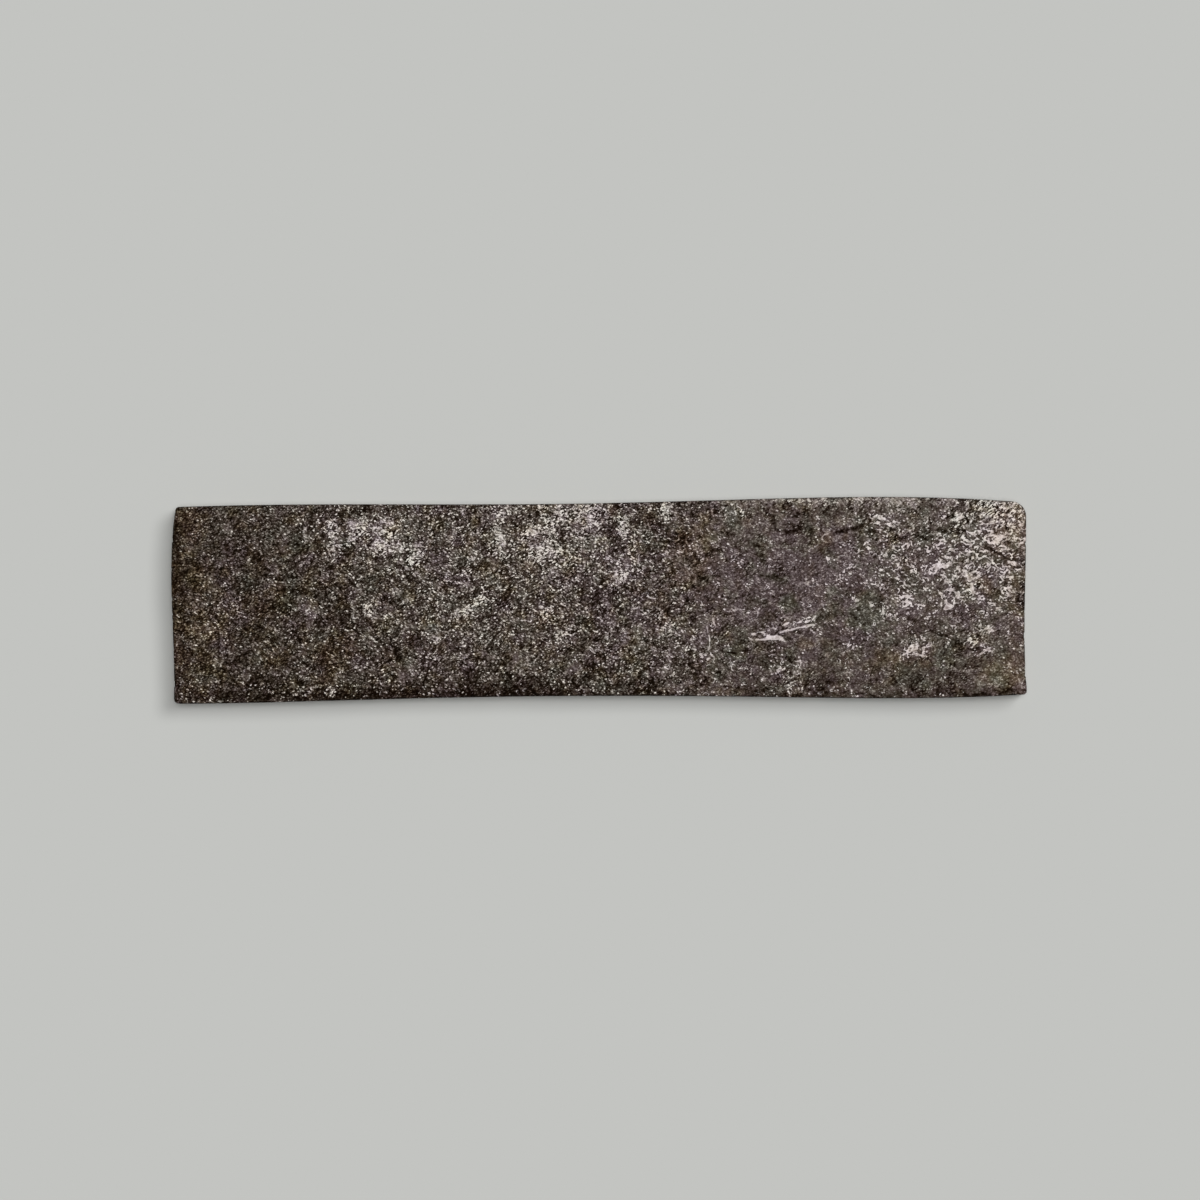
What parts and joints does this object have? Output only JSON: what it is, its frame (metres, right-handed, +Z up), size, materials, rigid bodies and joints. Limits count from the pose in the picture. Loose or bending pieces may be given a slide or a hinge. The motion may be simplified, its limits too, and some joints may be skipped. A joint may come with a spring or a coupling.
{
  "type": "porcelain subway tile",
  "caption": "Slim oblong porcelain wall tile with a moulded brick-look face, uneven edges and a waffle back that keys into tile adhesive.",
  "frame": {"origin": "under the middle of the tile, on the plane of its back", "axes": "+X along the tile, +Y across it, +Z up out of the face"},
  "size_m": [0.2502, 0.0593, 0.01],
  "materials": {
    "porcelain": "matt mottled grey-brown brick-look face on a raw stoneware body"
  },
  "bodies": {
    "root": {"tile": "porcelain"}
  },
  "joints": []
}
